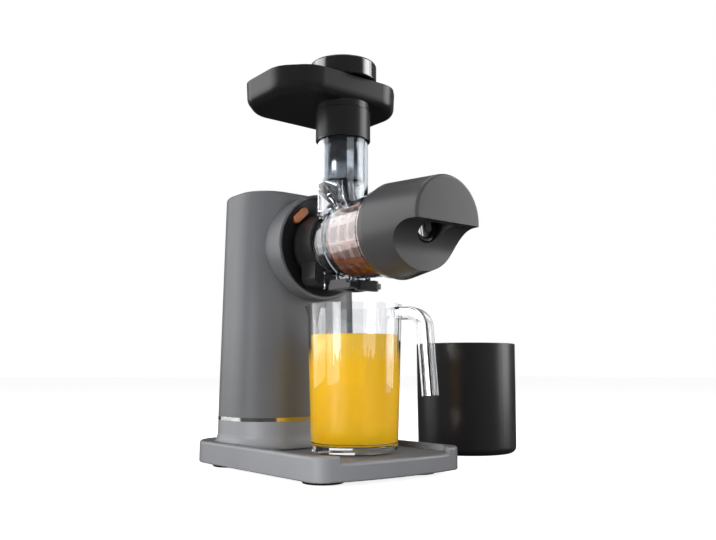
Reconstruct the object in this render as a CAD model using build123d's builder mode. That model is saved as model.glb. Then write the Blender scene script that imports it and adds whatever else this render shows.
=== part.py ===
"""Cold press juicer with its juice jug and pulp cup.

The frame's origin lies on the table, midway between the four feet. +X points out of the nozzle,
+Z up and +Y to the side where the pulp cup stands. All sizes are in millimetres.
"""
import os
from math import atan2, cos, degrees, radians, sin, tan

from build123d import *

os.makedirs("parts", exist_ok=True)

# ---- clearances -------------------------------------------------------------------------------
GAP = 0.3           # between bodies that move apart
FIT = 0.1           # between a seated piece and its seat
RUN = 0.05          # radial running fit of a shaft

# ---- driving sizes ----------------------------------------------------------------------------
AXIS_Z = 204.0      # height of the nozzle's axis
TUBE_X = 33.5       # feed tube's axis in front of the origin
WALL = 2.5          # casing wall

BASE_BACK = -114.0  # rear edge of the platform
BASE_FRONT = 112.0  # middle of its bowed front edge
BASE_WIDTH = 155.2
BASE_BOW = 8.0      # how far the front edge bows out
BASE_REAR_R = 38.0
BASE_FRONT_R = 14.0
FOOT_H = 4.0
FLOOR_Z = 19.0      # where the jug stands
RIM_Z = 24.0        # raised side rims
RIM_W = 7.0

TOWER_X = -54.4     # tower's middle
TOWER_DEPTH = 80.8  # at the top
TOWER_WIDTH = 124.8
TOWER_R = 32.4
TOWER_TOP = 256.5
TOWER_TAPER = 0.97  # degrees on each side
STRIP_Z = 43.4      # trim strip's lower edge
STRIP_H = 3.3

DRUM_R = 49.7
DRUM_FRONT = 4.9
DISH_R = 46.4       # dish's outer edge
DISH_DEPTH = 6.0
SOCKET_R = 31.5     # black socket that takes the chamber
SOCKET_END = 27.0
CHIN_HALF, CHIN_DROP = 26.0, 7.5    # squared chin under the socket

CHAMBER_REAR_R = 30.0
CHAMBER_R = 34.5    # main cone at its rear
CHAMBER_FRONT_R = 36.5
CHAMBER_STEP = 50.0  # where the rear barrel meets the main cone
CHAMBER_END = 102.6
FLANGE_R = 38.6
CLEAR_WALL = 2.5    # clear plastic
TUBE_R = 23.0
TUBE_TOP = 325.0
CHUTE_X = 41.5      # narrow lower chute
CHUTE_R = 12.5
CHUTE_TOP = 237.0     # where the chute starts to widen to the tube's bore
BORE_FOOT = 258.0     # foot of the tube's straight bore

CAP_BACK = 103.0
CAP_SHOULDER = 112.0
CAP_R = 41.0
CAP_FRONT = 169.8   # visor's front face
CAP_FRONT_R = 34.4
CAP_RISE = 2.6      # how far the visor's face stands above the axis
CAP_FACE = 140.5    # recessed lower face
OUTLET_R, OUTLET_IN = 14.0, 8.6
VISOR_ROUND = 22.0  # hollow fillet between the recessed face and the visor

TRAY_BACK, TRAY_FRONT = -45.0, 58.0
TRAY_NEAR, TRAY_FAR = -74.0, 64.0
TRAY_WALL = 2.4
TRAY_DEPTH = 22.5   # rim to flat underside
COLLAR_GRIP = 26.0  # length of tube inside the collar
COLLAR_RISE = 2.0   # collar's end above the tube
NECK_H = 5.0        # tray's neck between the collar and its underside
COLLAR_BOTTOM, COLLAR_TOP = TUBE_TOP - COLLAR_GRIP, TUBE_TOP + COLLAR_RISE
TRAY_TOP = COLLAR_TOP + NECK_H + TRAY_DEPTH

PUSHER_RISE = 17.5    # pusher's top above the tray's rim
PUSHER_TOP = TRAY_TOP + PUSHER_RISE
PUSHER_CAP_R = 31.0

JUG_X = 51.0
JUG_BOTTOM_R, JUG_RIM_R = 37.6, 41.6
JUG_H = 126.6
JUG_WALL = 2.2
JUG_FLOOR = 6.0
HANDLE_TURN = 30.0  # handle's direction from +X towards +Y, degrees
HANDLE_W, HANDLE_T = 22.0, 10.0    # handle channel across and in depth
HANDLE_WALL = 2.5
LIP_OUT = 5.5       # how far the pouring lip stands out of the rim

CUP_X, CUP_Y = -28.5, 222.0
CUP_RIM_R, CUP_BOTTOM_R = 55.0, 54.0
CUP_H = 119.0
CUP_WALL = 2.4

MODULE = 1.25       # gear teeth
PINION_TEETH, WHEEL_TEETH = 12, 36
GEAR_CENTRES = MODULE * (PINION_TEETH + WHEEL_TEETH) / 2
MOTOR_R = 26.0

TOWER_GROW = tan(radians(TOWER_TAPER))


def save(part, name):
    """Label a finished part and write it."""
    part.label = name
    export_step(part, f"parts/{name}.step")


def tower_section(z, inset=0.0):
    """Size of the tower's rounded section at a height: (depth, width, corner radius)."""
    grow = (TOWER_TOP - z) * TOWER_GROW - inset
    return TOWER_DEPTH + 2 * grow, TOWER_WIDTH + 2 * grow, TOWER_R + grow


def tower_block(z_low, z_high, inset=0.0, taper=TOWER_TAPER):
    """Solid tapered slice of the tower's form, added to the part being built."""
    depth, width, radius = tower_section(z_low, inset)
    with BuildSketch(Plane.XY.offset(z_low)) as section:
        with Locations((TOWER_X, 0)):
            RectangleRounded(depth, width, radius)
    return extrude(section.sketch, amount=z_high - z_low, taper=taper)


def across(x):
    """Plane facing +X at x, centred on the nozzle's axis: its x is the frame's Y."""
    return Plane(origin=(x, 0, AXIS_Z), x_dir=(0, 1, 0), z_dir=(1, 0, 0))


# The half plane that round pieces of the nozzle are drawn in: x along the axis, y the radius.
NOZZLE = Plane(origin=(0, 0, AXIS_Z), x_dir=(1, 0, 0), z_dir=(0, -1, 0))
NOZZLE_AXIS = Axis((0, 0, AXIS_Z), (1, 0, 0))


def turned(points, plane=NOZZLE, axis=NOZZLE_AXIS, mode=Mode.ADD):
    """Revolve a closed outline of (along, radius) points about an axis."""
    with BuildSketch(plane) as half:
        with BuildLine():
            Polyline(*points, close=True)
        make_face()
    return revolve(half.sketch, axis=axis, mode=mode)


def ring(x_low, x_high, r_out, r_in=0.0, mode=Mode.ADD):
    """Plain ring or disc about the nozzle's axis."""
    with BuildSketch(across(x_low)) as disc:
        Circle(r_out)
        if r_in:
            Circle(r_in, mode=Mode.SUBTRACT)
    return extrude(disc.sketch, amount=x_high - x_low, mode=mode)


def gear(x_low, width, teeth, z, bore, tooth_up):
    """Spur gear about an X axis at height z. tooth_up turns a tooth, not a gap, to +Z."""
    pitch_r = MODULE * teeth / 2
    root, tip = pitch_r - 1.2 * MODULE, pitch_r + 0.85 * MODULE
    step = 360 / teeth
    phase = 90 if tooth_up else 90 + step / 2
    with BuildSketch(Plane(origin=(x_low, 0, z), x_dir=(0, 1, 0), z_dir=(1, 0, 0))) as blank:
        Circle(root)
        with PolarLocations(0, teeth, start_angle=phase):
            Polygon((root - 0.4, -1.15), (pitch_r, -0.82), (tip, -0.4), (tip, 0.4), (pitch_r, 0.82),
                    (root - 0.4, 1.15), align=None)
        Circle(bore, mode=Mode.SUBTRACT)
    return extrude(blank.sketch, amount=width)


# ---- base -------------------------------------------------------------------------------------
def base_outline(inset=0.0):
    """Platform outline: bowed front, large rear corners."""
    half = BASE_WIDTH / 2 - inset
    back, front = BASE_BACK + inset, BASE_FRONT - inset
    with BuildLine() as outline:
        Line((front - BASE_BOW, -half), (back, -half))
        Line((back, -half), (back, half))
        Line((back, half), (front - BASE_BOW, half))
        ThreePointArc((front - BASE_BOW, half), (front, 0), (front - BASE_BOW, -half))
    make_face(outline.edges())


def round_outline(sketch, inset=0.0):
    """Round the four plan corners of the platform outline."""
    rear = sketch.vertices().filter_by(lambda v: v.X < 0)
    fillet(rear, BASE_REAR_R - inset)
    front = sketch.vertices().sort_by(Axis.X)[-2:]
    fillet(front, BASE_FRONT_R - inset)


LIP_HALF = BASE_WIDTH / 2 - 23.6    # half length of the low front edge that the jug slides over
RECESS_FRONT = BASE_FRONT - 24.0    # where the recess starts to narrow towards the low edge
FOOT_X, FOOT_Y, FOOT_R = 74.0, BASE_WIDTH / 2 - 27.6, 17.0
FOOT_PLACES = [(x, y) for x in (-FOOT_X, FOOT_X) for y in (-FOOT_Y, FOOT_Y)]
COVER_T = 2.0
SCREW_Y = BASE_WIDTH / 2 - 19.6
SCREW_PLACES = [(x, y) for x in (-44, 44) for y in (-SCREW_Y, SCREW_Y)]
SCREW_R, SCREW_HEAD_R = 1.5, 3.0
FLARE_Z, FLARE_R, FLARE_STEPS = RIM_Z - 4.0, 11.0, 6    # flared foot of the skirt

with BuildPart() as base_platform:
    with BuildSketch(Plane.XY.offset(FOOT_H)) as plan:
        base_outline()
        round_outline(plan)
    extrude(amount=RIM_Z - FOOT_H)
    rim_edges = base_platform.faces().sort_by(Axis.Z)[-1].edges()
    fillet(rim_edges, 2.5)
    fillet(base_platform.faces().sort_by(Axis.Z)[0].edges(), 1.5)
    # Recessed floor in front of the tower, open over the low front edge.
    with BuildSketch(Plane.XY.offset(FLOOR_Z)):
        with BuildLine():
            inner = BASE_WIDTH / 2 - RIM_W
            narrow, beyond = RECESS_FRONT + 15, BASE_FRONT + 18
            Polyline((-30, -inner), (RECESS_FRONT, -inner), (narrow, -LIP_HALF - 5), (beyond, -LIP_HALF),
                     (beyond, LIP_HALF), (narrow, LIP_HALF + 5), (RECESS_FRONT, inner), (-30, inner), close=True)
        make_face()
    extrude(amount=RIM_Z, mode=Mode.SUBTRACT)
    front_edge = (base_platform.edges().filter_by(lambda e: abs(e.center().Z - FLOOR_Z) < 0.1)
                  .sort_by(Axis.X)[-1])
    fillet(front_edge, 2.8)
    # Skirt that the tower grows from, flared at its foot in short sloping bands.
    tower_block(FOOT_H + 6, STRIP_Z)
    for step in range(FLARE_STEPS):
        low, high = radians(90 * step / FLARE_STEPS), radians(90 * (step + 1) / FLARE_STEPS)
        rise, top = FLARE_R * (1 - cos(low)), FLARE_R * (1 - cos(high))
        spread, tip = FLARE_R * (1 - sin(low)), FLARE_R * (1 - sin(high))
        slope = degrees(atan2(spread - tip, top - rise))
        tower_block(FLARE_Z + rise, FLARE_Z + top, inset=-spread, taper=slope)
    # Hollow under the floor, for the cover.
    with BuildSketch(Plane.XY.offset(FOOT_H)) as under:
        base_outline(WALL)
        round_outline(under, WALL)
    extrude(amount=FLOOR_Z - WALL - FOOT_H, mode=Mode.SUBTRACT)
    # The skirt is a hollow wall, with an opening for wires through the floor.
    depth, width, radius = tower_section(FLOOR_Z, WALL + 0.6)
    with BuildSketch(Plane.XY.offset(FLOOR_Z)):
        with Locations((TOWER_X, 0)):
            RectangleRounded(depth, width, radius)
    extrude(amount=STRIP_Z, taper=TOWER_TAPER, mode=Mode.SUBTRACT)
    with BuildSketch(Plane.XY.offset(FOOT_H)):
        with Locations((TOWER_X, 0)):
            SlotOverall(50, 20)
    extrude(amount=FLOOR_Z, mode=Mode.SUBTRACT)
    with Locations(*[(x, y, FOOT_H + COVER_T + FIT) for x, y in SCREW_PLACES]):
        Cylinder(SCREW_HEAD_R + 1, FLOOR_Z - WALL - FOOT_H - COVER_T, align=(Align.CENTER, Align.CENTER, Align.MIN))
    with Locations(*[(x, y, FOOT_H) for x, y in SCREW_PLACES]):
        Cylinder(SCREW_R, 11, align=(Align.CENTER, Align.CENTER, Align.MIN), mode=Mode.SUBTRACT)
save(base_platform.part, "base_platform")

with BuildPart() as base_cover:
    with BuildSketch(Plane.XY.offset(FOOT_H)) as lid:
        base_outline(WALL + GAP)
        round_outline(lid, WALL + GAP)
    extrude(amount=COVER_T)
    with BuildSketch(Plane.XY.offset(FOOT_H)):
        with Locations(*SCREW_PLACES):
            Circle(SCREW_R + FIT)
        with Locations((-54, 0)):
            with GridLocations(0, 8, 1, 7):
                SlotOverall(36, 3)
    extrude(amount=COVER_T, mode=Mode.SUBTRACT)
save(base_cover.part, "base_cover")

with BuildPart() as cover_screws:
    with Locations(*[(x, y, FOOT_H) for x, y in SCREW_PLACES]):
        Cylinder(SCREW_R - FIT, 10, align=(Align.CENTER, Align.CENTER, Align.MIN))
        Cylinder(SCREW_HEAD_R, 1.8, align=(Align.CENTER, Align.CENTER, Align.MAX))
        with Locations((0, 0, -1.8)):
            Box(3.6, 0.9, 1.6, mode=Mode.SUBTRACT)
            Box(0.9, 3.6, 1.6, mode=Mode.SUBTRACT)
save(cover_screws.part, "cover_screws")

with BuildPart() as feet:
    with BuildSketch():
        with Locations(*FOOT_PLACES):
            Circle(FOOT_R)
    extrude(amount=FOOT_H)
    fillet(feet.edges().group_by(Axis.Z)[0], 1.2)
save(feet.part, "feet")

# ---- tower ------------------------------------------------------------------------------------
SHELL_Z = STRIP_Z + STRIP_H
BUTTON_X, BUTTON_Y, BUTTON_R = -58.0, 15.0, 8.0
BOARD_Z = 239.0
POST_PLACES = [(x, y) for x in (-80, -36) for y in (-28, 28)]

with BuildPart() as tower_shell:
    tower_block(SHELL_Z, TOWER_TOP)
    fillet(tower_shell.faces().sort_by(Axis.Z)[-1].edges(), 4)
    depth, width, radius = tower_section(SHELL_Z, WALL)
    with BuildSketch(Plane.XY.offset(SHELL_Z)):
        with Locations((TOWER_X, 0)):
            RectangleRounded(depth, width, radius)
    extrude(amount=TOWER_TOP - WALL - SHELL_Z, taper=TOWER_TAPER, mode=Mode.SUBTRACT)
    ring(-40, 20, DRUM_R + FIT, mode=Mode.SUBTRACT)
    # Locating lip behind the trim strip, and the posts of the control board.
    with BuildSketch(Plane.XY.offset(BOARD_Z + 1.6)):
        with Locations(*POST_PLACES):
            Circle(3)
    extrude(amount=TOWER_TOP - WALL - BOARD_Z)
    with BuildSketch(Plane.XY.offset(TOWER_TOP - 10)):
        with Locations((BUTTON_X, -BUTTON_Y), (BUTTON_X, BUTTON_Y)):
            Circle(BUTTON_R + GAP)
    extrude(amount=12, mode=Mode.SUBTRACT)
    with BuildSketch(Plane(origin=(-120, 0, 70), x_dir=(0, 1, 0), z_dir=(1, 0, 0))):
        Circle(6 + FIT)
    extrude(amount=40, mode=Mode.SUBTRACT)
    # Cooling slots low on the back.
    with BuildSketch(Plane(origin=(-120, 0, 110), x_dir=(0, 1, 0), z_dir=(1, 0, 0))):
        with GridLocations(0, 7, 1, 6):
            SlotOverall(44, 3)
    extrude(amount=40, mode=Mode.SUBTRACT)
save(tower_shell.part, "tower_shell")

with BuildPart() as trim_strip:
    tower_block(STRIP_Z, SHELL_Z, inset=-0.15)
    depth, width, radius = tower_section(STRIP_Z, WALL)
    with BuildSketch(Plane.XY.offset(STRIP_Z)):
        with Locations((TOWER_X, 0)):
            RectangleRounded(depth, width, radius)
    extrude(amount=STRIP_H, taper=TOWER_TAPER, mode=Mode.SUBTRACT)
save(trim_strip.part, "trim_strip")

with BuildPart() as cord_grommet:
    with BuildSketch(Plane(origin=(-100, 0, 70), x_dir=(0, 1, 0), z_dir=(1, 0, 0))):
        Circle(6)
        Circle(3.4, mode=Mode.SUBTRACT)
    extrude(amount=12)
    with BuildSketch(Plane(origin=(-92.5, 0, 70), x_dir=(0, 1, 0), z_dir=(1, 0, 0))):
        Circle(9)
        Circle(3.4, mode=Mode.SUBTRACT)
    extrude(amount=2.5)
save(cord_grommet.part, "cord_grommet")

BUTTON_TOP = TOWER_TOP + 1.2
FLANGE_TOP = TOWER_TOP - WALL - GAP


def top_button(y, name):
    """Round control button in the tower's top, kept in by its flange."""
    with BuildPart() as button:
        with Locations((BUTTON_X, y, FLANGE_TOP - 1.5)):
            Cylinder(BUTTON_R + 1.6, 1.5, align=(Align.CENTER, Align.CENTER, Align.MIN))
            Cylinder(BUTTON_R, BUTTON_TOP - FLANGE_TOP + 1.5, align=(Align.CENTER, Align.CENTER, Align.MIN))
        fillet(button.edges().group_by(Axis.Z)[-1], 0.8)
    save(button.part, name)


def coil(origin, direction, length, radius, wire, turns, name):
    """Open coil spring standing on origin, its wire's ends within the length."""
    foot = Vector(*origin) + Vector(*direction) * wire
    run = length - 2 * wire
    with BuildPart() as spring:
        with BuildLine() as path:
            Helix(pitch=run / turns, height=run, radius=radius, center=foot, direction=direction)
        with BuildSketch(Plane(origin=path.line @ 0, z_dir=path.line % 0)):
            Circle(wire)
        sweep(is_frenet=True)
    save(spring.part, name)


top_button(-BUTTON_Y, "start_button")
top_button(BUTTON_Y, "reverse_button")
SPRING_H = FLANGE_TOP - 1.5 - BOARD_Z - 1.6
coil((BUTTON_X, -BUTTON_Y, BOARD_Z + 1.6), (0, 0, 1), SPRING_H, 5, 0.45, 4, "start_spring")
coil((BUTTON_X, BUTTON_Y, BOARD_Z + 1.6), (0, 0, 1), SPRING_H, 5, 0.45, 4, "reverse_spring")

with BuildPart() as control_board:
    with BuildSketch(Plane.XY.offset(BOARD_Z)):
        with Locations((-58, 0)):
            RectangleRounded(56, 66, 3)
    extrude(amount=1.6)
    with BuildSketch(Plane.XY.offset(BOARD_Z)):
        with Locations((-74, 0)):
            Rectangle(10, 26)
        with Locations((-42, -18), (-42, 18)):
            Rectangle(8, 8)
    extrude(amount=-3.5)
save(control_board.part, "control_board")

# ---- drum, dish and socket --------------------------------------------------------------------
DRUM_BACK = -22.0
DISH_BOTTOM = DRUM_FRONT - 0.8 - DISH_DEPTH
RELEASE_TURN = 133.0    # where the release button sits round the dish, degrees from +Y
RELEASE_R = 37.6        # its distance from the axis
RELEASE_L, RELEASE_W = 19.0, 8.0
RELEASE_X = DRUM_FRONT - 3.6

with BuildPart() as drum_collar:
    ring(DRUM_BACK, DRUM_FRONT, DRUM_R, DISH_R)
    fillet(drum_collar.faces().sort_by(Axis.X)[-1].edges(), 1.2)
    ring(DRUM_BACK, DRUM_BACK + 3, DISH_R + 0.1, 20)
save(drum_collar.part, "drum_collar")

release_plane = Plane(across(RELEASE_X).origin, x_dir=(0, 1, 0), z_dir=(1, 0, 0))
with BuildPart() as drum_dish:
    turned([(DISH_BOTTOM - 2, SOCKET_R + FIT), (DISH_BOTTOM, SOCKET_R + FIT), (DISH_BOTTOM + 1.5, 35),
            (DRUM_FRONT - 0.8, DISH_R - FIT), (DRUM_FRONT - 3.4, DISH_R - FIT), (DISH_BOTTOM - 0.9, 35.5)])
    with BuildSketch(across(DISH_BOTTOM - 6)):
        with PolarLocations(RELEASE_R, 1, start_angle=RELEASE_TURN):
            SlotOverall(RELEASE_L + 2 * GAP, RELEASE_W + 2 * GAP, rotation=90)
    extrude(amount=20, mode=Mode.SUBTRACT)
    # Spokes that carry the dish from the drum's back wall.
    with BuildSketch(across(DRUM_BACK + 3)):
        with PolarLocations(41, 6, start_angle=RELEASE_TURN + 30):
            Rectangle(5, 3)
    extrude(amount=DISH_BOTTOM - DRUM_BACK - 1.3)
save(drum_dish.part, "drum_dish")

with BuildPart() as socket_ring:
    turned([(DRUM_BACK + 3, 28.4), (SOCKET_END, 28.4), (SOCKET_END, SOCKET_R - 0.8), (SOCKET_END - 0.8, SOCKET_R),
            (DRUM_BACK + 3, SOCKET_R)])
    ring(DRUM_BACK + 3, DRUM_BACK + 5, 28.6, 20)
    # Squared chin under the socket.
    with BuildSketch(across(DRUM_FRONT + 1)):
        with Locations((0, -(SOCKET_R + CHIN_DROP) / 2 - 6)):
            RectangleRounded(2 * CHIN_HALF, SOCKET_R + CHIN_DROP - 12, 8)
        Circle(SOCKET_R - 1, mode=Mode.SUBTRACT)
    extrude(amount=SOCKET_END - DRUM_FRONT - 1)
save(socket_ring.part, "socket_ring")

with BuildPart() as release_button:
    with BuildSketch(across(DISH_BOTTOM - 4.5)):
        with PolarLocations(RELEASE_R, 1, start_angle=RELEASE_TURN):
            SlotOverall(RELEASE_L, RELEASE_W, rotation=90)
    extrude(amount=RELEASE_X + 3.4 - DISH_BOTTOM + 4.5)
    fillet(release_button.faces().sort_by(Axis.X)[-1].edges(), 1.2)
save(release_button.part, "release_button")

release_y = RELEASE_R * cos(radians(RELEASE_TURN))
release_z = AXIS_Z + RELEASE_R * sin(radians(RELEASE_TURN))
coil((DRUM_BACK + 3, release_y, release_z), (1, 0, 0), DISH_BOTTOM - 4.5 - DRUM_BACK - 3, 2.6, 0.35, 4,
     "release_spring")

# ---- motor and gearbox ------------------------------------------------------------------------
PLATE_REAR_X, PLATE_FRONT_X, PLATE_T = -45.0, DRUM_BACK - 2.0, 2.0
LAY_Z = AXIS_Z - GEAR_CENTRES
SHAFT_R, LAY_R, OUT_R = 2.5, 3.0, 6.0
MOTOR_BACK = -84.0
STAGE_1_X, STAGE_2_X, FACE_W = -41.5, -33.0, 6.0
PLATE_POSTS = [(38, AXIS_Z + 6), (-38, AXIS_Z + 6), (30, LAY_Z - 18), (-30, LAY_Z - 18)]


def gear_plate(x, holes, name):
    """Flat gearbox plate with its bores: (height, radius) each."""
    with BuildPart() as plate:
        with BuildSketch(Plane(origin=(x, 0, 0), x_dir=(0, 1, 0), z_dir=(1, 0, 0))):
            with Locations((0, AXIS_Z)):
                Circle(32)
            with Locations((0, (AXIS_Z + LAY_Z) / 2 - 4)):
                RectangleRounded(84, 68, 10)
            for z, r in holes:
                with Locations((0, z)):
                    Circle(r, mode=Mode.SUBTRACT)
            with Locations(*PLATE_POSTS):
                Circle(1.6, mode=Mode.SUBTRACT)
        extrude(amount=PLATE_T)
    save(plate.part, name)


gear_plate(PLATE_REAR_X, [(AXIS_Z, 7.0), (LAY_Z, LAY_R + RUN)], "gear_plate_rear")
gear_plate(PLATE_FRONT_X, [(AXIS_Z, 11.0), (LAY_Z, LAY_R + RUN)], "gear_plate_front")

with BuildPart() as gear_posts:
    with BuildSketch(Plane(origin=(PLATE_REAR_X + PLATE_T, 0, 0), x_dir=(0, 1, 0), z_dir=(1, 0, 0))):
        with Locations(*PLATE_POSTS):
            Circle(3.2)
    extrude(amount=PLATE_FRONT_X - PLATE_REAR_X - PLATE_T)
save(gear_posts.part, "gear_posts")

with BuildPart() as gear_screws:
    with BuildSketch(Plane(origin=(PLATE_REAR_X, 0, 0), x_dir=(0, 1, 0), z_dir=(1, 0, 0))):
        with Locations(*PLATE_POSTS):
            Circle(1.5)
    extrude(amount=PLATE_T)
    with BuildSketch(Plane(origin=(PLATE_REAR_X - 2, 0, 0), x_dir=(0, 1, 0), z_dir=(1, 0, 0))):
        with Locations(*PLATE_POSTS):
            RegularPolygon(2.9, 6)
    extrude(amount=2)
save(gear_screws.part, "gear_screws")

with BuildPart() as motor_can:
    ring(MOTOR_BACK, PLATE_REAR_X, MOTOR_R, MOTOR_R - 2)
    ring(PLATE_REAR_X - 2, PLATE_REAR_X, MOTOR_R - 1, 7.0)
    with BuildSketch(across(MOTOR_BACK + 12)):
        with PolarLocations(0, 2, start_angle=0):
            with Locations((MOTOR_R - 4.5, 0)):
                Rectangle(5, 16)
    extrude(amount=20)
    ring(MOTOR_BACK + 12, MOTOR_BACK + 32, MOTOR_R - 6, mode=Mode.SUBTRACT)
save(motor_can.part, "motor_can")

with BuildPart() as motor_bell:
    ring(MOTOR_BACK - 2, MOTOR_BACK, MOTOR_R, 7.0)
    with BuildSketch(across(MOTOR_BACK - 2)):
        with PolarLocations(17, 8):
            SlotOverall(9, 4)
    extrude(amount=2, mode=Mode.SUBTRACT)
save(motor_bell.part, "motor_bell")

with BuildPart() as motor_bearings:
    ring(MOTOR_BACK - 2, MOTOR_BACK + 2, 7.0, SHAFT_R + RUN)
    ring(PLATE_REAR_X - 2, PLATE_REAR_X + PLATE_T, 7.0, SHAFT_R + RUN)
save(motor_bearings.part, "motor_bearings")

with BuildPart() as motor_rotor:
    ring(MOTOR_BACK - 2, STAGE_1_X + FACE_W, SHAFT_R)
    with BuildSketch(across(MOTOR_BACK + 12)):
        Circle(MOTOR_R - 8)
        with PolarLocations(MOTOR_R - 9, 12):
            Rectangle(5, 1.6, mode=Mode.SUBTRACT)
    extrude(amount=20)
    ring(MOTOR_BACK + 4, MOTOR_BACK + 10, 6)
save(motor_rotor.part, "motor_rotor")

with BuildPart() as motor_pinion:
    gear(STAGE_1_X, FACE_W, PINION_TEETH, AXIS_Z, SHAFT_R, tooth_up=False)
save(motor_pinion.part, "motor_pinion")

with BuildPart() as layshaft:
    with BuildSketch(Plane(origin=(PLATE_REAR_X, 0, LAY_Z), x_dir=(0, 1, 0), z_dir=(1, 0, 0))):
        Circle(LAY_R)
    extrude(amount=PLATE_FRONT_X + PLATE_T - PLATE_REAR_X)
save(layshaft.part, "layshaft")

with BuildPart() as lay_wheel:
    gear(STAGE_1_X + 0.5, FACE_W - 1, WHEEL_TEETH, LAY_Z, LAY_R, tooth_up=True)
save(lay_wheel.part, "lay_wheel")

with BuildPart() as lay_pinion:
    gear(STAGE_2_X - 0.5, FACE_W + 1, PINION_TEETH, LAY_Z, LAY_R, tooth_up=True)
save(lay_pinion.part, "lay_pinion")

with BuildPart() as output_wheel:
    gear(STAGE_2_X, FACE_W, WHEEL_TEETH, AXIS_Z, OUT_R, tooth_up=False)
save(output_wheel.part, "output_wheel")

HEX_AF = 11.0       # drive stub across flats
with BuildPart() as output_shaft:
    ring(STAGE_2_X - 0.8, DRUM_BACK + 9, OUT_R)
    ring(DRUM_BACK + 9, 3, 11)
    with BuildSketch(across(DRUM_BACK + 11)):
        RegularPolygon(HEX_AF / 2 + GAP, 6, major_radius=False)
    extrude(amount=30, mode=Mode.SUBTRACT)
save(output_shaft.part, "output_shaft")

with BuildPart() as output_bush:
    ring(PLATE_FRONT_X, DRUM_BACK + 8.5, 11.0, OUT_R + RUN)
    ring(PLATE_FRONT_X + PLATE_T, DRUM_BACK + 3, 20.0, 10.9)
save(output_bush.part, "output_bush")

# ---- chamber group ----------------------------------------------------------------------------
SEAL_X = 6.0
with BuildPart() as chamber_seal:
    turned([(SEAL_X - 3, 13.6), (SEAL_X - GAP, 13.6), (SEAL_X - GAP, 27.6), (SEAL_X - 1.6, 28.1), (SEAL_X - 3, 27.6)])
save(chamber_seal.part, "chamber_seal")

SPOUT_HALF, RAIL_HALF, RAIL_T = 12.5, 15.0, 1.8   # half widths of the spout and of its foot rails
LEVER_BOTTOM, LEVER_TOP = 160.0, 164.5
LEVER_BACK, LEVER_FRONT = SOCKET_END + 3.6, 70.0
SLED_WALL = 1.8
SPOUT_X = CHAMBER_STEP - 1
with BuildPart() as chamber:
    with BuildSketch(Plane.XY.offset(AXIS_Z)):
        with Locations((TUBE_X, 0)):
            Circle(TUBE_R)
    extrude(amount=TUBE_TOP - AXIS_Z)
    ring(-20, SOCKET_END + GAP, SOCKET_R + GAP, mode=Mode.SUBTRACT)
    turned([(SEAL_X, 0), (SEAL_X, 27.2), (SOCKET_END + GAP, 27.2), (SOCKET_END + GAP, CHAMBER_REAR_R),
            (CHAMBER_STEP, CHAMBER_REAR_R), (CHAMBER_STEP, 36), (CHAMBER_STEP + 2.5, 36),
            (CHAMBER_STEP + 2.5, CHAMBER_R), (100, CHAMBER_FRONT_R), (100, FLANGE_R), (CHAMBER_END, FLANGE_R),
            (CHAMBER_END, 35.6), (110, 35.6), (110, 0)])
    # Juice spout under the step, its foot rails that the drip stop grips, and a rib behind them.
    with BuildSketch(Plane.XY.offset(LEVER_TOP + GAP)):
        with Locations((SPOUT_X, 0)):
            Rectangle(18, 2 * SPOUT_HALF)
    extrude(amount=12)
    with BuildSketch(Plane.XY.offset(LEVER_TOP + GAP)):
        with Locations((SPOUT_X, 0)):
            Rectangle(18, 2 * RAIL_HALF)
    extrude(amount=RAIL_T)
    with BuildSketch(Plane.XY.offset(LEVER_BOTTOM + 1)):
        with Locations((SOCKET_END + 1.9, -14.8)):
            Rectangle(2.8, 5)
    extrude(amount=26)
    # Inside: rear barrel, main cone and the opening for the auger's drive stub.
    turned([(SEAL_X - 1, 0), (SEAL_X - 1, 9), (SEAL_X + CLEAR_WALL, 9), (SEAL_X + CLEAR_WALL, 24.7),
            (SOCKET_END + 3, 24.7), (SOCKET_END + 6, 27.5), (CHAMBER_STEP + 2.5, 27.5),
            (CHAMBER_STEP + 4, CHAMBER_R - CLEAR_WALL), (112, CHAMBER_FRONT_R - CLEAR_WALL), (112, 0)],
           mode=Mode.SUBTRACT)
    # Feed tube's bore narrows and shifts forward to clear the socket.
    with BuildSketch(Plane.XY.offset(BORE_FOOT)):
        with Locations((TUBE_X, 0)):
            Circle(TUBE_R - CLEAR_WALL)
    extrude(amount=100, mode=Mode.SUBTRACT)
    with BuildSketch(Plane.XY.offset(BORE_FOOT)):
        with Locations((TUBE_X, 0)):
            Circle(TUBE_R - CLEAR_WALL)
    with BuildSketch(Plane.XY.offset(CHUTE_TOP)):
        with Locations((CHUTE_X, 0)):
            Circle(CHUTE_R)
    loft(mode=Mode.SUBTRACT)
    with BuildSketch(Plane.XY.offset(CHUTE_TOP - 21)):
        with Locations((CHUTE_X, 0)):
            Circle(CHUTE_R)
    extrude(amount=21.2, mode=Mode.SUBTRACT)
    with BuildSketch(Plane.XY.offset(LEVER_TOP)):
        with Locations((SPOUT_X, 0)):
            RectangleRounded(14, 16, 2)
    extrude(amount=16, mode=Mode.SUBTRACT)
save(chamber.part, "chamber")

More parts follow.
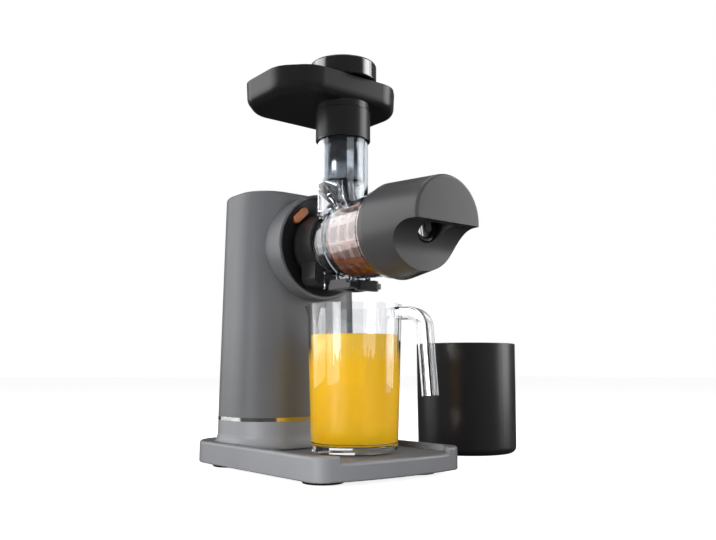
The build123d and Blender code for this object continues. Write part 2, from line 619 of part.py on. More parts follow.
with BuildPart() as drip_stop:
    sled_half = RAIL_HALF + GAP + SLED_WALL
    with BuildSketch(Plane.XY.offset(LEVER_BOTTOM)):
        with Locations(((LEVER_BACK + LEVER_FRONT) / 2, 0)):
            RectangleRounded(LEVER_FRONT - LEVER_BACK, 2 * sled_half, 5)
    extrude(amount=LEVER_TOP - LEVER_BOTTOM)
    # Finger tab at the front, and the walls and lips that hold the rails.
    with BuildSketch(Plane.XY.offset(LEVER_BOTTOM - 2.4)):
        with Locations((LEVER_FRONT - 2, 0)):
            RectangleRounded(6, 24, 2.5)
    extrude(amount=LEVER_TOP - LEVER_BOTTOM + 4.2)
    lip_z = LEVER_TOP + RAIL_T + 2 * GAP
    with BuildSketch(Plane.XY.offset(LEVER_TOP)):
        with Locations((SPOUT_X, sled_half - SLED_WALL / 2), (SPOUT_X, -sled_half + SLED_WALL / 2)):
            Rectangle(24, SLED_WALL)
    extrude(amount=lip_z + 1.3 - LEVER_TOP)
    with BuildSketch(Plane.XY.offset(lip_z)):
        for side in (-1, 1):
            with Locations((SPOUT_X, side * (sled_half + SPOUT_HALF + GAP) / 2)):
                Rectangle(24, sled_half - SPOUT_HALF - GAP)
    extrude(amount=1.3)
    with BuildSketch(Plane.XY.offset(LEVER_BOTTOM)):
        with Locations((SPOUT_X, 0)):
            RectangleRounded(13, 15, 2)
    extrude(amount=12, mode=Mode.SUBTRACT)
save(drip_stop.part, "drip_stop")

# Strainer: an amber frame of ribs round a fine sleeve.
FRAME_X0, FRAME_X1 = CHAMBER_STEP + 5, 99.0
FRAME_R0, FRAME_R1 = CHAMBER_R - CLEAR_WALL - 0.4, CHAMBER_FRONT_R - CLEAR_WALL - 0.6
with BuildPart() as filter_basket:
    turned([(FRAME_X0, 27.5), (FRAME_X0, FRAME_R0), (FRAME_X1, FRAME_R1), (FRAME_X1, 29.4)])
    for x in (FRAME_X0 + 4, FRAME_X0 + 17.5, FRAME_X0 + 31):
        with BuildSketch(across(x)):
            with PolarLocations(0, 12):
                Polygon((20, -4.4), (40, -8.2), (40, 8.2), (20, 4.4), align=None)
        extrude(amount=10.5, mode=Mode.SUBTRACT)
save(filter_basket.part, "filter_basket")

MESH_T = 0.5
with BuildPart() as filter_mesh:
    turned([(FRAME_X0, 27.4 - MESH_T), (FRAME_X0, 27.4), (FRAME_X1, 29.3), (FRAME_X1, 29.3 - MESH_T)])
save(filter_mesh.part, "filter_mesh")

# Auger: a core that thickens towards the outlet, helical flights and a faceted tip.
AUGER_BACK = 10.0
TIP_X, TIP_R = 111.0, 9.8      # faceted tip that breaks up the pulp
FLIGHT_R, FLIGHT_MID = 23.6, 15.0
FLIGHT_PITCH, FLIGHT_TURNS, FLIGHT_CONE = 27.0, 2.75, 2.9
with BuildPart() as auger:
    turned([(AUGER_BACK, 0), (AUGER_BACK, 12), (AUGER_BACK + 4, 12.5), (60, 15.5), (98, 19.5), (106, 18),
            (112, 9), (112, 0)])
    with BuildLine() as flight_path:
        Helix(pitch=FLIGHT_PITCH, height=FLIGHT_PITCH * FLIGHT_TURNS, radius=FLIGHT_MID,
              center=(AUGER_BACK + 10, 0, AXIS_Z), direction=(1, 0, 0), cone_angle=FLIGHT_CONE)
    start = flight_path.line @ 0
    outward = start - Vector(start.X, 0, AXIS_Z)
    with BuildSketch(Plane(origin=start, x_dir=outward, z_dir=flight_path.line % 0)):
        with BuildLine():
            Polyline((-5, -3.0), (FLIGHT_R - FLIGHT_MID, -1.0), (FLIGHT_R - FLIGHT_MID, 1.0), (-5, 3.0),
                     close=True)
        make_face()
    sweep(path=flight_path.line, is_frenet=True)
    with BuildSketch(across(TIP_X)):
        RegularPolygon(TIP_R, 6)
    extrude(amount=CAP_FACE - 1 - TIP_X, taper=5.5)
    extrude(auger.faces().sort_by(Axis.X)[-1], amount=1.2, taper=50)
save(auger.part, "auger")

with BuildPart() as auger_stub:
    with BuildSketch(across(-6)):
        RegularPolygon(HEX_AF / 2, 6, major_radius=False)
    extrude(amount=AUGER_BACK + 6)
save(auger_stub.part, "auger_stub")

# ---- end cap ----------------------------------------------------------------------------------
with BuildPart() as cap_seal:
    ring(CHAMBER_END + GAP, CHAMBER_END + 2.3, 37.4, 35.9)
save(cap_seal.part, "cap_seal")

OUTLET_FRONT = CAP_FACE + 2.2
with BuildPart() as end_cap:
    ring(CAP_BACK, CAP_SHOULDER, FLANGE_R)
    with BuildSketch(across(CAP_SHOULDER - 0.5)):
        Circle(CAP_R)
    with BuildSketch(across(CAP_FRONT)):
        with Locations((0, CAP_RISE)):
            Circle(CAP_FRONT_R)
    loft()
    fillet(end_cap.faces().sort_by(Axis.X)[-1].edges(), 2.4)
    # The lower half is cut back under the visor, with a hollow fillet between.
    with BuildSketch(Plane(origin=(0, -60, 0), x_dir=(1, 0, 0), z_dir=(0, 1, 0))) as under_visor:
        with BuildLine():
            cut_z = -AXIS_Z + 1.0
            Polyline((CAP_FACE, -AXIS_Z + 60), (CAP_FACE, cut_z + VISOR_ROUND))
            RadiusArc((CAP_FACE, cut_z + VISOR_ROUND), (CAP_FACE + VISOR_ROUND, cut_z), -VISOR_ROUND)
            Polyline((CAP_FACE + VISOR_ROUND, cut_z), (CAP_FRONT + 5, cut_z), (CAP_FRONT + 5, -AXIS_Z + 60),
                     (CAP_FACE, -AXIS_Z + 60))
        make_face()
    extrude(amount=120, mode=Mode.SUBTRACT)
    # Inside: seat of the chamber's spigot, pulp chamber and outlet.
    turned([(CAP_BACK - 1, 0), (CAP_BACK - 1, 37.6), (CHAMBER_END + 2.6, 37.6), (CHAMBER_END + 2.6, 35.9),
            (110.5, 35.9), (110.5, 32), (CAP_FACE - 5, 22), (CAP_FACE - 3, 12), (CAP_FACE - 3, 0)],
           mode=Mode.SUBTRACT)
    ring(CAP_FACE - 5, CAP_FACE + VISOR_ROUND - 1, OUTLET_R, mode=Mode.SUBTRACT)
save(end_cap.part, "end_cap")

with BuildPart() as outlet_ring:
    ring(CAP_FACE - 3, OUTLET_FRONT, OUTLET_R - FIT, OUTLET_IN)
    fillet(outlet_ring.faces().sort_by(Axis.X)[-1].edges(), 2.0)
save(outlet_ring.part, "outlet_ring")

# ---- hopper tray and pusher -------------------------------------------------------------------
NECK_R = 24.2
TRAY_CUT, TRAY_CORNER = 24.0, 27.0   # cut corners in plan and their rounding
TRAY_FLARE, TRAY_FOOT_IN, TRAY_ROUND = 3.0, 1.2, 9.0   # side's slope, its foot and the round under it


def octagon(x0, x1, y0, y1, cut, z, radius):
    """Level face: a rectangle with cut, rounded corners."""
    with BuildSketch(Plane.XY.offset(z)) as sketch:
        with BuildLine():
            Polyline((x0 + cut, y0), (x1 - cut, y0), (x1, y0 + cut), (x1, y1 - cut), (x1 - cut, y1),
                     (x0 + cut, y1), (x0, y1 - cut), (x0, y0 + cut), close=True)
        make_face()
        fillet(sketch.vertices(), radius)
    return sketch.sketch.faces()[0]


def tray_bowl(z, inset, mode=Mode.ADD):
    """Tray's form from its underside at z to the rim, pulled in by inset at its foot."""
    face = octagon(TRAY_BACK + inset, TRAY_FRONT - inset, TRAY_NEAR + inset, TRAY_FAR - inset,
                   TRAY_CUT - 0.4 * inset, z, TRAY_CORNER - inset)
    with BuildPart(mode=Mode.PRIVATE) as bowl:
        extrude(face, amount=TRAY_TOP - z, taper=-TRAY_FLARE)
        fillet(bowl.faces().sort_by(Axis.Z)[0].edges(), TRAY_ROUND - inset + TRAY_FOOT_IN)
    add(bowl.part, mode=mode)


with BuildPart() as tube_collar:
    with BuildSketch(Plane.XY.offset(COLLAR_BOTTOM)):
        with Locations((TUBE_X, 0)):
            Circle(TUBE_R + GAP + 1.9)
            Circle(TUBE_R - CLEAR_WALL, mode=Mode.SUBTRACT)
    extrude(amount=COLLAR_TOP - COLLAR_BOTTOM)
    with BuildSketch(Plane.XY.offset(COLLAR_BOTTOM)):
        with Locations((TUBE_X, 0)):
            Circle(TUBE_R + GAP)
    extrude(amount=TUBE_TOP + GAP - COLLAR_BOTTOM, mode=Mode.SUBTRACT)
    chamfer(tube_collar.edges().group_by(Axis.Z)[-1].sort_by(SortBy.LENGTH)[-1], 1.0)
save(tube_collar.part, "tube_collar")

with BuildPart() as hopper_tray:
    tray_bowl(TRAY_TOP - TRAY_DEPTH, TRAY_FOOT_IN)
    # Neck that flares into the underside and stands on the collar.
    with BuildSketch(Plane.XY.offset(COLLAR_TOP)):
        with Locations((TUBE_X, 0)):
            Circle(NECK_R)
    extrude(amount=TRAY_TOP - TRAY_DEPTH + 1 - COLLAR_TOP)
    tray_bowl(TRAY_TOP - TRAY_DEPTH + TRAY_WALL, TRAY_FOOT_IN + TRAY_WALL, Mode.SUBTRACT)
    with BuildSketch(Plane.XY.offset(COLLAR_TOP - 1)):
        with Locations((TUBE_X, 0)):
            Circle(TUBE_R - CLEAR_WALL)
    extrude(amount=TRAY_TOP - COLLAR_TOP + 1, mode=Mode.SUBTRACT)
save(hopper_tray.part, "hopper_tray")

STEM_R = TUBE_R - CLEAR_WALL - 0.6
PUSHER_CAP_H = PUSHER_TOP - TRAY_TOP - GAP      # the cap rests on the tray's front rim
PUSHER_CAP_Z = PUSHER_TOP - PUSHER_CAP_H
GUIDE_Z = COLLAR_BOTTOM + 6     # foot of the wide guide inside the tray's bore
PUSHER_FOOT, ROD_X, ROD_R, PUSHER_FOOT_R = CHUTE_TOP + 4, 37.5, 9.0, 10.2
with BuildPart() as pusher_stem:
    with BuildSketch(Plane.XY.offset(GUIDE_Z)):
        with Locations((TUBE_X, 0)):
            Circle(STEM_R)
    extrude(amount=PUSHER_CAP_Z - GUIDE_Z)
    fillet(pusher_stem.edges().group_by(Axis.Z)[0], 1.5)
    with BuildSketch(Plane.XY.offset(GUIDE_Z + 2.5)):
        with Locations((TUBE_X, 0)):
            Circle(STEM_R - 2.2)
    extrude(amount=200, mode=Mode.SUBTRACT)
    # Rod that reaches down the narrowing chute, with a wider foot.
    with BuildSketch(Plane.XY.offset(PUSHER_FOOT)):
        with Locations((ROD_X, 0)):
            Circle(ROD_R)
    extrude(amount=GUIDE_Z + 1 - PUSHER_FOOT)
    with BuildSketch(Plane.XY.offset(PUSHER_FOOT)):
        with Locations((ROD_X, 0)):
            Circle(PUSHER_FOOT_R)
    foot = extrude(amount=5)
save(pusher_stem.part, "pusher_stem")

with BuildPart() as pusher_cap:
    with BuildSketch(Plane.XY.offset(PUSHER_CAP_Z)):
        with Locations((TUBE_X, 0)):
            Circle(PUSHER_CAP_R)
    extrude(amount=PUSHER_CAP_H)
    fillet(pusher_cap.edges().group_by(Axis.Z)[-1], 2.5)
    fillet(pusher_cap.edges().group_by(Axis.Z)[0], 1.2)
    with BuildSketch(Plane.XY.offset(PUSHER_CAP_Z)):
        with Locations((TUBE_X, 0)):
            Circle(PUSHER_CAP_R - 2.4)
            Circle(STEM_R, mode=Mode.SUBTRACT)
    extrude(amount=PUSHER_CAP_H - 3, mode=Mode.SUBTRACT)
save(pusher_cap.part, "pusher_cap")

# ---- jug --------------------------------------------------------------------------------------
JUG_Z = FLOOR_Z + 0.3
JUG_AXIS = Axis((JUG_X, 0, JUG_Z), (0, 0, 1))
JUG_PLANE = Plane(origin=(JUG_X, 0, JUG_Z), x_dir=(cos(radians(HANDLE_TURN)), sin(radians(HANDLE_TURN)), 0),
                  z_dir=(sin(radians(HANDLE_TURN)), -cos(radians(HANDLE_TURN)), 0))
LIP_DEEP = 24.0     # height of the pouring lip
with BuildPart() as jug:
    outside = [(0, 0), (JUG_BOTTOM_R - 4, 0), (JUG_BOTTOM_R - 1, 1), (JUG_BOTTOM_R, 4), (JUG_RIM_R, JUG_H), (0, JUG_H)]
    inside = [(0, JUG_FLOOR), (JUG_BOTTOM_R - JUG_WALL - 3, JUG_FLOOR), (JUG_BOTTOM_R - JUG_WALL, JUG_FLOOR + 3),
              (JUG_RIM_R - JUG_WALL, JUG_H), (JUG_RIM_R - JUG_WALL, JUG_H + 1), (0, JUG_H + 1)]
    # The pouring lip opposite the handle is a beak that grows out of the wall to the rim.
    for outline, r_top, r_low, shrink, mode in ((outside, 13, 4, 0, Mode.ADD),
                                                (inside, 13 - JUG_WALL, 2.4, JUG_WALL, Mode.SUBTRACT)):
        turned(outline, JUG_PLANE, JUG_AXIS, mode=mode)
        for height, reach, r in ((JUG_H, JUG_RIM_R + LIP_OUT - shrink - r_top, r_top),
                                 (JUG_H - LIP_DEEP, JUG_RIM_R - 1.6 - shrink - r_low, r_low)):
            with BuildSketch(Plane.XY.offset(JUG_Z + height)) as beak:
                with Locations((JUG_X - reach * cos(radians(HANDLE_TURN)), -reach * sin(radians(HANDLE_TURN)))):
                    Circle(r)
        loft(mode=mode)
    # Hook handle: a channel that leaves the rim and hangs down, open at its foot.
    with BuildLine(JUG_PLANE) as hook:
        start = (JUG_RIM_R - 1.2, JUG_H - 8)
        top = Line(start, (JUG_RIM_R + 10, JUG_H - 8))
        bend = JernArc(start=top @ 1, tangent=top % 1, radius=13, arc_size=-86)
        PolarLine(bend @ 1, 58, angle=-86)
    with BuildSketch(Plane(origin=hook.line @ 0, x_dir=JUG_PLANE.z_dir, z_dir=hook.line % 0)):
        RectangleRounded(HANDLE_W, HANDLE_T, 3)
        with Locations((0, HANDLE_WALL)):
            Rectangle(HANDLE_W - 2 * HANDLE_WALL, HANDLE_T, mode=Mode.SUBTRACT)
    sweep(path=hook.line)
save(jug.part, "jug")

# ---- pulp cup ---------------------------------------------------------------------------------
CUP_PLANE = Plane(origin=(CUP_X, CUP_Y, 0), x_dir=(1, 0, 0), z_dir=(0, -1, 0))
CUP_AXIS = Axis((CUP_X, CUP_Y, 0), (0, 0, 1))
with BuildPart() as pulp_container:
    with BuildSketch(CUP_PLANE) as cup_half:
        with BuildLine():
            Polyline((0, 0), (CUP_BOTTOM_R, 0), (CUP_RIM_R, CUP_H), (CUP_RIM_R - CUP_WALL, CUP_H),
                     (CUP_BOTTOM_R - CUP_WALL, CUP_WALL), (0, CUP_WALL), close=True)
        make_face()
        fillet(cup_half.vertices().filter_by(lambda v: v.Y < 0.01 and v.X > 1), 7)
        fillet(cup_half.vertices().filter_by(lambda v: abs(v.Y - CUP_WALL) < 0.01 and v.X > 1), 4.6)
        fillet(cup_half.vertices().filter_by(lambda v: v.Y > CUP_H - 0.01), 0.9)
    revolve(axis=CUP_AXIS)
save(pulp_container.part, "pulp_container")
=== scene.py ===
import math
import bpy
from mathutils import Matrix, Vector


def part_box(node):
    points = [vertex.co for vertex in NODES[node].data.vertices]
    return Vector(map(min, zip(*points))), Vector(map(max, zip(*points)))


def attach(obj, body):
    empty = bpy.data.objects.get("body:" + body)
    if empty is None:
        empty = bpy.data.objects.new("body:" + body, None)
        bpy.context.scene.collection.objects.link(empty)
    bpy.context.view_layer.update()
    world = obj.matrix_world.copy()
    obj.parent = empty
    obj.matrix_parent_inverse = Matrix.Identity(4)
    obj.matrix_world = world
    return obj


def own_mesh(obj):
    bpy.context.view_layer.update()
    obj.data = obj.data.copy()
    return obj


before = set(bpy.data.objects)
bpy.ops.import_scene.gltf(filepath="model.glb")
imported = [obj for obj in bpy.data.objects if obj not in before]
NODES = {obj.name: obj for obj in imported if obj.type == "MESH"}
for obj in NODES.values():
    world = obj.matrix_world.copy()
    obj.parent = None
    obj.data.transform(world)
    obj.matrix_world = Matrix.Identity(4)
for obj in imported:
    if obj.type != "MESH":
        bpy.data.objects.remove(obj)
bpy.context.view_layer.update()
MM = 0.001


# ---------------------------------------------------------------- materials
def shader(name):
    """A new material, its node tree and its main shader."""
    mat = bpy.data.materials.new(name)
    mat.use_nodes = True
    tree = mat.node_tree
    return mat, tree, tree.nodes["Principled BSDF"]


def put(tree, kind, **values):
    """A new node; each value goes to the input or the setting of that name."""
    node = tree.nodes.new(kind)
    for key, value in values.items():
        if key in node.inputs:
            node.inputs[key].default_value = value
        else:
            setattr(node, key, value)
    return node


def grain(tree, bsdf, scale, height, detail=3.0):
    """Fine moulded or ground texture as a bump."""
    place = put(tree, "ShaderNodeTexCoord")
    noise = put(tree, "ShaderNodeTexNoise", Scale=scale, Detail=detail, Roughness=0.6)
    bump = put(tree, "ShaderNodeBump", Strength=1.0, Distance=height)
    tree.links.new(place.outputs["Object"], noise.inputs["Vector"])
    tree.links.new(noise.outputs["Fac"], bump.inputs["Height"])
    tree.links.new(bump.outputs["Normal"], bsdf.inputs["Normal"])
    return place


def mottled(tree, bsdf, colour, spread, scale, place):
    """A colour that varies slightly from place to place."""
    noise = put(tree, "ShaderNodeTexNoise", Scale=scale, Detail=2.0)
    ramp = put(tree, "ShaderNodeValToRGB")
    low = [c * (1 - spread) for c in colour]
    high = [min(1.0, c * (1 + spread)) for c in colour]
    ramp.color_ramp.elements[0].position = 0.35
    ramp.color_ramp.elements[1].position = 0.65
    ramp.color_ramp.elements[0].color = (*low, 1)
    ramp.color_ramp.elements[1].color = (*high, 1)
    tree.links.new(place.outputs["Object"], noise.inputs["Vector"])
    tree.links.new(noise.outputs["Fac"], ramp.inputs["Fac"])
    tree.links.new(ramp.outputs["Color"], bsdf.inputs["Base Color"])


def worn(tree, bsdf, rough, spread, scale, place):
    """Roughness that varies slightly, as handled plastic has."""
    noise = put(tree, "ShaderNodeTexNoise", Scale=scale, Detail=4.0)
    span = put(tree, "ShaderNodeMapRange")
    span.inputs["To Min"].default_value = rough - spread
    span.inputs["To Max"].default_value = rough + spread
    tree.links.new(place.outputs["Object"], noise.inputs["Vector"])
    tree.links.new(noise.outputs["Fac"], span.inputs["Value"])
    tree.links.new(span.outputs["Result"], bsdf.inputs["Roughness"])


def plastic(name, colour, rough, spread=0.03, texture=2600.0, height=0.00002, coat=0.0):
    """Moulded plastic, satin or glossy, with a fine grain."""
    mat, tree, bsdf = shader(name)
    bsdf.inputs["Coat Weight"].default_value = coat
    bsdf.inputs["Coat Roughness"].default_value = 0.08
    bsdf.inputs["IOR"].default_value = 1.5
    place = grain(tree, bsdf, texture, height)
    mottled(tree, bsdf, colour, 0.05, 14.0, place)
    worn(tree, bsdf, rough, spread, 22.0, place)
    return mat


def metal(name, colour, rough, texture=700.0, height=0.00001):
    """Ground or drawn metal."""
    mat, tree, bsdf = shader(name)
    bsdf.inputs["Metallic"].default_value = 1.0
    place = grain(tree, bsdf, texture, height)
    mottled(tree, bsdf, colour, 0.03, 30.0, place)
    worn(tree, bsdf, rough, 0.04, 60.0, place)
    return mat


def clear(name, colour, rough=0.0, transmission=1.0, height=0.0):
    """See-through plastic, tinted, or cloudy where transmission is low."""
    mat, tree, bsdf = shader(name)
    bsdf.inputs["Base Color"].default_value = (*colour, 1)
    bsdf.inputs["Roughness"].default_value = rough
    bsdf.inputs["IOR"].default_value = 1.5
    bsdf.inputs["Transmission Weight"].default_value = transmission
    if height:
        grain(tree, bsdf, 30.0, height, 1.0)
    return mat


GLOSS = {"spread": 0.02, "texture": 400.0, "height": 0.000002}

casing = plastic("casing_grey", (0.132, 0.135, 0.143), 0.40)
satin_black = plastic("satin_black", (0.022, 0.021, 0.022), 0.36)
cap_black = plastic("cap_black", (0.066, 0.064, 0.067), 0.34)
tray_black = plastic("tray_black", (0.012, 0.0115, 0.012), 0.33)
cap_gloss = plastic("cap_gloss", (0.008, 0.008, 0.009), 0.16, coat=0.8, **GLOSS)
gloss_black = plastic("gloss_black", (0.008, 0.008, 0.009), 0.2, **GLOSS)
cup_black = plastic("cup_black", (0.018, 0.017, 0.018), 0.32)
copper_plastic = plastic("copper_plastic", (0.55, 0.2, 0.085), 0.3, coat=0.3)
rubber = plastic("black_rubber", (0.012, 0.012, 0.012), 0.75, 0.06, 1200.0, 0.00005)
silicone = plastic("silicone_grey", (0.5, 0.5, 0.5), 0.5)
nylon = plastic("gear_nylon", (0.75, 0.72, 0.64), 0.45)
board = plastic("board_green", (0.02, 0.13, 0.06), 0.4)
steel = metal("steel", (0.55, 0.55, 0.56), 0.28)
zinc = metal("zinc", (0.62, 0.63, 0.64), 0.38)
dark_steel = metal("dark_steel", (0.4, 0.4, 0.41), 0.3)
bronze = metal("bronze", (0.6, 0.42, 0.2), 0.35)
trim_metal = metal("trim_metal", (0.85, 0.84, 0.82), 0.16)
clear_plastic = clear("clear_plastic", (0.77, 0.80, 0.84))
clear_jug = clear("clear_jug", (0.925, 0.93, 0.94))
amber = clear("amber_plastic", (0.5, 0.14, 0.035), 0.3, 0.35, 0.00003)
mesh_screen = metal("screen_steel", (0.6, 0.5, 0.42), 0.35, texture=2500.0, height=0.00006)

LOOKS = {
    casing: ["base_platform", "tower_shell", "drum_collar"],
    satin_black: ["base_cover", "drum_dish", "socket_ring", "auger"],
    cap_black: ["end_cap"],
    tray_black: ["hopper_tray", "tube_collar"],
    cap_gloss: ["pusher_cap", "pusher_stem"],
    gloss_black: ["drip_stop", "start_button", "reverse_button", "outlet_ring"],
    cup_black: ["pulp_container"],
    copper_plastic: ["release_button"],
    rubber: ["feet", "cord_grommet"],
    silicone: ["chamber_seal", "cap_seal"],
    nylon: ["lay_wheel", "output_wheel"],
    board: ["control_board"],
    steel: ["cover_screws", "gear_posts", "gear_screws", "motor_rotor", "layshaft", "output_shaft",
            "auger_stub", "start_spring", "reverse_spring", "release_spring"],
    zinc: ["gear_plate_rear", "gear_plate_front", "motor_can", "motor_bell"],
    dark_steel: ["motor_pinion", "lay_pinion"],
    bronze: ["motor_bearings", "output_bush"],
    trim_metal: ["trim_strip"],
    clear_plastic: ["chamber"],
    clear_jug: ["jug"],
    amber: ["filter_basket"],
    mesh_screen: ["filter_mesh"],
}


for mat, names in LOOKS.items():
    for name in names:
        slots = NODES[name].data.materials
        slots.clear()
        slots.append(mat)


# ---------------------------------------------------------------- small tools
LATHE_STEPS = 96


def finish_mesh(name, verts, faces, mat, body):
    """A smooth-shaded piece that rides a body."""
    mesh = bpy.data.meshes.new(name)
    mesh.from_pydata([tuple(v) for v in verts], [], faces)
    mesh.update()
    obj = bpy.data.objects.new(name, mesh)
    bpy.context.scene.collection.objects.link(obj)
    mesh.materials.append(mat)
    for poly in mesh.polygons:
        poly.use_smooth = True
    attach(obj, body)


def lathe(name, profile, centre, mat, body):
    """A solid of revolution about a vertical axis; the profile runs from axis to axis, in millimetres."""
    verts, faces, rows = [], [], []
    for r, z in profile:
        if r < 1e-6:
            rows.append([len(verts)])
            verts.append(Vector((centre[0], centre[1], z)) * MM)
            continue
        rows.append(list(range(len(verts), len(verts) + LATHE_STEPS)))
        for i in range(LATHE_STEPS):
            a = 2 * math.pi * i / LATHE_STEPS
            verts.append(Vector((centre[0] + r * math.cos(a), centre[1] + r * math.sin(a), z)) * MM)
    for low, high in zip(rows, rows[1:]):
        for i in range(LATHE_STEPS):
            j = (i + 1) % LATHE_STEPS
            if len(low) == 1:
                faces.append((low[0], high[j], high[i]))
            elif len(high) == 1:
                faces.append((low[i], low[j], high[0]))
            else:
                faces.append((low[i], low[j], high[j], high[i]))
    finish_mesh(name, verts, faces, mat, body)


# ---------------------------------------------------------------- return springs
# Each spring gets a mesh of its own; each button's travel, in metres, and axis are listed, but the springs
# are not shortened.
KEY_TRAVEL, RELEASE_TRAVEL, HAIR = 0.0015, 0.0025, 0.00005
ALONG_X, ALONG_Z = 0, 2
for spring, joint, axis, travel in (("start_spring", "start_press", ALONG_Z, KEY_TRAVEL),
                                    ("reverse_spring", "reverse_press", ALONG_Z, KEY_TRAVEL),
                                    ("release_spring", "release_press", ALONG_X, RELEASE_TRAVEL)):
    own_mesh(NODES[spring])


# ---------------------------------------------------------------- juice in the jug
JUG = (51.0, 0.0)                   # the jug's axis
JUG_FLOOR, JUG_TOP = 19.3, 145.9
JUG_FOOT_R, JUG_RIM_R, JUG_WALL = 37.6, 41.6, 2.2
JUICE_GAP = 0.12                    # keeps the juice's side off the wall
JUICE_LOW, JUICE_TOP = 25.6, 119.0
juice_mat, tree, bsdf = shader("orange_juice")
bsdf.inputs["Roughness"].default_value = 0.3
bsdf.inputs["Specular IOR Level"].default_value = 0.25
bsdf.inputs["Subsurface Weight"].default_value = 0.2
bsdf.inputs["Subsurface Scale"].default_value = 0.003
# Painted glow: the juice emits a faint orange light of its own, so it looks brighter and more lit than the
# lamps make it.
bsdf.inputs["Emission Color"].default_value = (1.0, 0.6, 0.006, 1)
bsdf.inputs["Emission Strength"].default_value = 0.12
place = put(tree, "ShaderNodeTexCoord")
mottled(tree, bsdf, (0.76, 0.46, 0.0), 0.02, 40.0, place)


def jug_inside(z):
    """Radius of the juice at height z: the jug's inside, less the gap."""
    share = (z - JUG_FLOOR) / (JUG_TOP - JUG_FLOOR)
    return JUG_FOOT_R + (JUG_RIM_R - JUG_FOOT_R) * share - JUG_WALL - JUICE_GAP


foot_r, top_r = jug_inside(JUICE_LOW), jug_inside(JUICE_TOP)
levels = [JUICE_LOW + 3.4, 40, 60, 80, 100, JUICE_TOP - 0.4]
profile = [(0, JUICE_LOW), (foot_r - 3.6, JUICE_LOW), (foot_r - 1.4, JUICE_LOW + 1.0)]
profile += [(jug_inside(z), z) for z in levels]
profile += [(top_r, JUICE_TOP + 0.5), (top_r - 1.4, JUICE_TOP), (0, JUICE_TOP)]
lathe("juice", profile, JUG, juice_mat, "juice_jug")


# ---------------------------------------------------------------- pusher's barrel in the feed tube
barrel_mat = plastic("barrel_gloss", (0.165, 0.175, 0.187), 0.16, **GLOSS)
barrel_mat.node_tree.nodes["Principled BSDF"].inputs["Metallic"].default_value = 0.9
TUBE = (33.5, 0.0)                  # the feed tube's axis
BARREL_R, BARREL_FOOT, BARREL_EDGE = 19.8, 259.0, 1.5
barrel_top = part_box("tube_collar")[1][2] / MM - 6
profile = [(0, BARREL_FOOT), (BARREL_R - BARREL_EDGE, BARREL_FOOT), (BARREL_R, BARREL_FOOT + BARREL_EDGE)]
profile += [(BARREL_R, barrel_top), (0, barrel_top)]
lathe("pusher_barrel", profile, TUBE, barrel_mat, "pusher")


# ---------------------------------------------------------------- floor, world, lamps
CAMERA = Vector((0.59277, -0.42604, 0.08691))
FORWARD = Vector((-0.7767, 0.6163, 0.1304)).normalized()
RIGHT = Vector((0.6216, 0.7834, 0.0)).normalized()
UP = RIGHT.cross(FORWARD).normalized()
CENTRE = Vector((0.02, 0.03, 0.17))


def plane(name, size, place_at, mat):
    """A flat square."""
    half = size / 2
    corners = [(-half, -half, 0), (half, -half, 0), (half, half, 0), (-half, half, 0)]
    mesh = bpy.data.meshes.new(name)
    mesh.from_pydata(corners, [], [(0, 1, 2, 3)])
    obj = bpy.data.objects.new(name, mesh)
    obj.location = place_at
    bpy.context.scene.collection.objects.link(obj)
    mesh.materials.append(mat)
    return obj


def math_node(tree, operation, a, b):
    """One maths node; a and b are sockets or plain numbers."""
    node = put(tree, "ShaderNodeMath", operation=operation)
    for socket, value in zip(node.inputs, (a, b)):
        if isinstance(value, (int, float)):
            socket.default_value = value
        else:
            tree.links.new(value, socket)
    return node.outputs[0]


# The floor is white to the eye and dark to reflections, so that the undersides stay black.
floor_mat, tree, bsdf = shader("floor_white")
path = put(tree, "ShaderNodeLightPath")
shade = put(tree, "ShaderNodeMapRange")
shade.inputs["To Min"].default_value = 0.06
shade.inputs["To Max"].default_value = 0.9
direct = math_node(tree, "MAXIMUM", path.outputs["Is Camera Ray"], path.outputs["Is Transmission Ray"])
tree.links.new(direct, shade.inputs["Value"])
tree.links.new(shade.outputs["Result"], bsdf.inputs["Base Color"])
bsdf.inputs["Roughness"].default_value = 0.7
bsdf.inputs["Specular IOR Level"].default_value = 0.0
bsdf.inputs["Emission Color"].default_value = (1, 1, 1, 1)
tree.links.new(math_node(tree, "MULTIPLY", direct, 0.86), bsdf.inputs["Emission Strength"])
floor = plane("floor", 30.0, (0, 0, -0.0002), floor_mat)

# White behind the object, darker to the sides as seen through clear plastic, low for reflections.
world = bpy.data.worlds.new("studio")
bpy.context.scene.world = world
world.use_nodes = True
tree = world.node_tree
back = tree.nodes["Background"]
path = put(tree, "ShaderNodeLightPath")
place = put(tree, "ShaderNodeTexCoord")
facing = put(tree, "ShaderNodeVectorMath", operation="DOT_PRODUCT")
tree.links.new(place.outputs["Generated"], facing.inputs[0])
facing.inputs[1].default_value = FORWARD
FILL = 0.12
through = put(tree, "ShaderNodeMapRange")
for key, value in (("From Min", 0.25), ("From Max", 0.8), ("To Min", FILL), ("To Max", 1.0)):
    through.inputs[key].default_value = value
tree.links.new(facing.outputs["Value"], through.inputs["Value"])
seen = math_node(tree, "MULTIPLY", path.outputs["Is Transmission Ray"],
                 math_node(tree, "SUBTRACT", through.outputs["Result"], FILL))
straight = math_node(tree, "MULTIPLY", path.outputs["Is Camera Ray"], 1.0 - FILL)
level = math_node(tree, "ADD", math_node(tree, "ADD", seen, straight), FILL)
back.inputs["Color"].default_value = (1, 1, 1, 1)
tree.links.new(level, back.inputs["Strength"])


def around(right, forward, up):
    """A place given from the object's centre, as the camera sees it."""
    flat = Vector((FORWARD.x, FORWARD.y, 0)).normalized()
    return CENTRE + RIGHT * right + flat * forward + Vector((0, 0, up))


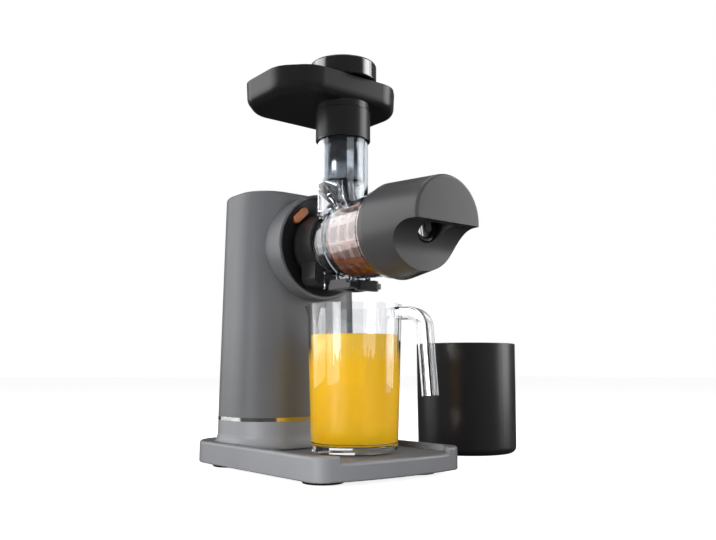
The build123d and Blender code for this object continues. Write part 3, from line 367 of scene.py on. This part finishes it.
def softbox(name, at, towards, width, height, power, only=(), mirrored=True):
    """A rectangular lamp out of the camera's sight; only names the nodes that it lights."""
    lamp = bpy.data.lights.new(name, "AREA")
    lamp.shape = "RECTANGLE"
    lamp.size, lamp.size_y, lamp.energy = width, height, power
    obj = bpy.data.objects.new(name, lamp)
    bpy.context.scene.collection.objects.link(obj)
    aim = Vector(towards) - Vector(at)
    obj.location = at
    obj.rotation_mode = "QUATERNION"
    obj.rotation_quaternion = aim.to_track_quat("-Z", "Y")
    obj.visible_camera = False
    obj.visible_glossy = mirrored
    if only:
        lit = bpy.data.collections.new(name + "_lit")
        for piece in only:
            lit.objects.link(NODES[piece])
        obj.light_linking.receiver_collection = lit


softbox("left_box", around(-1.3, 0.2, 0.3), CENTRE, 1.3, 1.8, 14)
softbox("right_box", around(1.25, 0.15, 0.25), CENTRE, 0.7, 1.6, 15)
softbox("top_box", around(0.0, 0.25, 1.6), CENTRE, 1.2, 1.2, 8)
# Plain light that adds no reflections.
softbox("key_left", around(-0.75, -0.8, 0.0), CENTRE + Vector((0, 0, -0.08)), 0.4, 0.3, 9, mirrored=False)
softbox("key_right", around(0.9, -1.2, 0.3), CENTRE, 0.9, 0.9, 10, mirrored=False)
# Light for one piece each: the platform, and broad reflections in the chamber, jug and pusher cap.
FOOT = Vector((0.0, -0.02, 0.012))
softbox("platform_box", around(-0.45, -0.9, -0.02), FOOT, 0.6, 0.2, 12.0, only=["base_platform"],
        mirrored=False)
NOZZLE = Vector((0.07, 0.0, 0.204))
softbox("chamber_box", NOZZLE + Vector((-0.373, -0.05, 0.06)), NOZZLE + Vector((0, -0.05, 0.06)), 0.6, 0.46,
        2.0, only=["chamber"])
JUG_MIDDLE = Vector((0.051, 0, 0.08))
softbox("jug_box", around(-0.9, -0.7, -0.02), JUG_MIDDLE, 0.7, 0.9, 5.0, only=["jug"])
PUSHER_CAP = Vector((0.033, 0, 0.36))
softbox("knob_box", around(-1.1, -0.1, 0.45), PUSHER_CAP, 0.9, 1.2, 12.0, only=["pusher_cap"])
softbox("knob_box_right", around(1.2, -0.1, 0.4), PUSHER_CAP, 0.6, 1.2, 9.0, only=["pusher_cap"])

# ---------------------------------------------------------------- camera
PHOTO_WIDTH, FOCAL = 716.0, 782.02  # pixels of the photograph
SENSOR = 36.0                       # millimetres
camera_data = bpy.data.cameras.new("camera")
camera_data.sensor_fit = "HORIZONTAL"
camera_data.sensor_width = SENSOR
camera_data.lens = SENSOR * FOCAL / PHOTO_WIDTH
camera_data.clip_start, camera_data.clip_end = 0.01, 50.0
camera = bpy.data.objects.new("camera", camera_data)
bpy.context.scene.collection.objects.link(camera)
camera.matrix_world = Matrix((
    (RIGHT.x, UP.x, -FORWARD.x, CAMERA.x),
    (RIGHT.y, UP.y, -FORWARD.y, CAMERA.y),
    (RIGHT.z, UP.z, -FORWARD.z, CAMERA.z),
    (0, 0, 0, 1),
))
bpy.context.scene.camera = camera
bpy.context.scene.view_settings.view_transform = "Standard"
